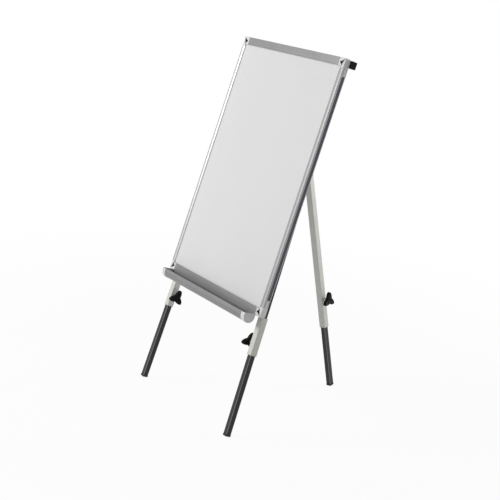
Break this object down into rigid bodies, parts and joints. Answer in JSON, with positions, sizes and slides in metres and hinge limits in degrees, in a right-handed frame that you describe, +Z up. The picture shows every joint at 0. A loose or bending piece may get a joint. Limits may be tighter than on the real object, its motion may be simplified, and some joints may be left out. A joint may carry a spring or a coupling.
{
  "type": "whiteboard easel",
  "caption": "Folding easel with a framed magnetic whiteboard and pen tray, telescopic legs held by lobed clamp knobs, and a hinged rear leg.",
  "frame": {"origin": "on the floor, in the middle of the footprint of the open easel", "axes": "+X along the board to its reader's right, +Y from the board towards the rear leg, +Z up"},
  "size_m": [0.71, 0.7392, 1.4254],
  "materials": {
    "enamel_white": "gloss white enamel",
    "core_board": "raw fibreboard",
    "backing_sheet": "plain grey",
    "rail_aluminium": "satin grey anodised",
    "corner_plastic": "light grey moulded",
    "black_plastic": "black moulded",
    "tube_light": "light grey powder coat",
    "tube_dark": "graphite powder coat",
    "zinc_steel": "zinc plated",
    "grey_plastic": "grey moulded",
    "foot_rubber": "black moulded"
  },
  "bodies": {
    "board": {"bottom_rail": "rail_aluminium", "bracket_screws": "zinc_steel", "clamp_boss_left": "zinc_steel", "clamp_boss_right": "zinc_steel", "corner_bottom_left": "corner_plastic", "corner_bottom_right": "corner_plastic", "corner_cover_bottom_left": "black_plastic", "corner_cover_bottom_right": "black_plastic", "corner_cover_top_left": "black_plastic", "corner_cover_top_right": "black_plastic", "corner_top_left": "corner_plastic", "corner_top_right": "corner_plastic", "crossbar": "tube_light", "crossbar_bolts": "zinc_steel", "crossbar_cap_left": "black_plastic", "crossbar_cap_right": "black_plastic", "crossbar_nuts": "zinc_steel", "frame_screws": "zinc_steel", "hinge_bracket": "zinc_steel", "hinge_clip": "zinc_steel", "hinge_pin": "zinc_steel", "leg_sleeve_left": "tube_light", "leg_sleeve_right": "tube_light", "panel_backing": "backing_sheet", "panel_core": "core_board", "pen_tray": "rail_aluminium", "side_rail_left": "rail_aluminium", "side_rail_right": "rail_aluminium", "sleeve_bushes_left": "grey_plastic", "sleeve_bushes_right": "grey_plastic", "top_rail": "rail_aluminium", "tray_brackets": "zinc_steel", "tray_end_cap_left": "corner_plastic", "tray_end_cap_right": "corner_plastic", "tray_screws": "zinc_steel", "writing_surface": "enamel_white"},
    "leg_left": {"leg_tube_left": "tube_dark", "leg_foot_left": "foot_rubber", "leg_tube_plug_left": "black_plastic"},
    "leg_right": {"leg_tube_right": "tube_dark", "leg_foot_right": "foot_rubber", "leg_tube_plug_right": "black_plastic"},
    "rear_knuckle": {"rear_knuckle": "zinc_steel"},
    "rear_leg": {"rear_head_plug": "grey_plastic", "swivel_screw": "zinc_steel", "rear_outer_tube": "tube_light", "rear_bush": "grey_plastic", "clamp_boss_rear": "zinc_steel"},
    "rear_extension": {"rear_tube": "tube_dark", "rear_foot": "foot_rubber", "rear_tube_plug": "black_plastic"},
    "pad_left": {"clamp_pad_left": "zinc_steel"},
    "knob_left": {"clamp_knob_left": "black_plastic", "clamp_stud_left": "zinc_steel"},
    "pad_right": {"clamp_pad_right": "zinc_steel"},
    "knob_right": {"clamp_knob_right": "black_plastic", "clamp_stud_right": "zinc_steel"},
    "pad_rear": {"clamp_pad_rear": "zinc_steel"},
    "knob_rear": {"clamp_knob_rear": "black_plastic", "clamp_stud_rear": "zinc_steel"}
  },
  "joints": [
    {"name": "leg_left_slide", "type": "slide", "parent": "board", "child": "leg_left", "axis": [-0.0349, -0.2704, -0.9621], "range_m": [-0.3, 0.4]},
    {"name": "leg_right_slide", "type": "slide", "parent": "board", "child": "leg_right", "axis": [0.0349, -0.2704, -0.9621], "range_m": [-0.3, 0.4]},
    {"name": "rear_fold", "type": "hinge", "parent": "board", "child": "rear_knuckle", "pos_m": [0, 0.03092, 1.35933], "axis": [-1, 0, 0], "range_deg": [0, 29.2]},
    {"name": "rear_swivel", "type": "hinge", "parent": "rear_knuckle", "child": "rear_leg", "pos_m": [0, 0.04259, 1.31072], "axis": [0, 0.2334, -0.9724], "range_deg": [0, 36]},
    {"name": "rear_extension_slide", "type": "slide", "parent": "rear_leg", "child": "rear_extension", "axis": [0, 0.2334, -0.9724], "range_m": [-0.25, 0.4]},
    {"name": "clamp_left_travel", "type": "slide", "parent": "board", "child": "pad_left", "axis": [0.9994, -0.0094, -0.0336], "range_m": [0, 0.00094]},
    {"name": "clamp_left_turn", "type": "hinge", "parent": "pad_left", "child": "knob_left", "pos_m": [-0.29468, -0.26091, 0.35069], "axis": [0.9994, -0.0094, -0.0336], "range_deg": [0, 270]},
    {"name": "clamp_right_travel", "type": "slide", "parent": "board", "child": "pad_right", "axis": [-0.9994, -0.0094, -0.0336], "range_m": [0, 0.00094]},
    {"name": "clamp_right_turn", "type": "hinge", "parent": "pad_right", "child": "knob_right", "pos_m": [0.29468, -0.26091, 0.35069], "axis": [-0.9994, -0.0094, -0.0336], "range_deg": [0, 270]},
    {"name": "clamp_rear_travel", "type": "slide", "parent": "rear_leg", "child": "pad_rear", "axis": [0.9511, 0.3005, 0.0721], "range_m": [0, 0.00094]},
    {"name": "clamp_rear_turn", "type": "hinge", "parent": "pad_rear", "child": "knob_rear", "pos_m": [0.02853, 0.27221, 0.39399], "axis": [0.9511, 0.3005, 0.0721], "range_deg": [0, 270]}
  ],
  "couplings": [
    {"joint": "clamp_left_travel", "follows": "clamp_left_turn", "m_per_rad": 0.00019894},
    {"joint": "clamp_right_travel", "follows": "clamp_right_turn", "m_per_rad": 0.00019894},
    {"joint": "clamp_rear_travel", "follows": "clamp_rear_turn", "m_per_rad": 0.00019894}
  ]
}
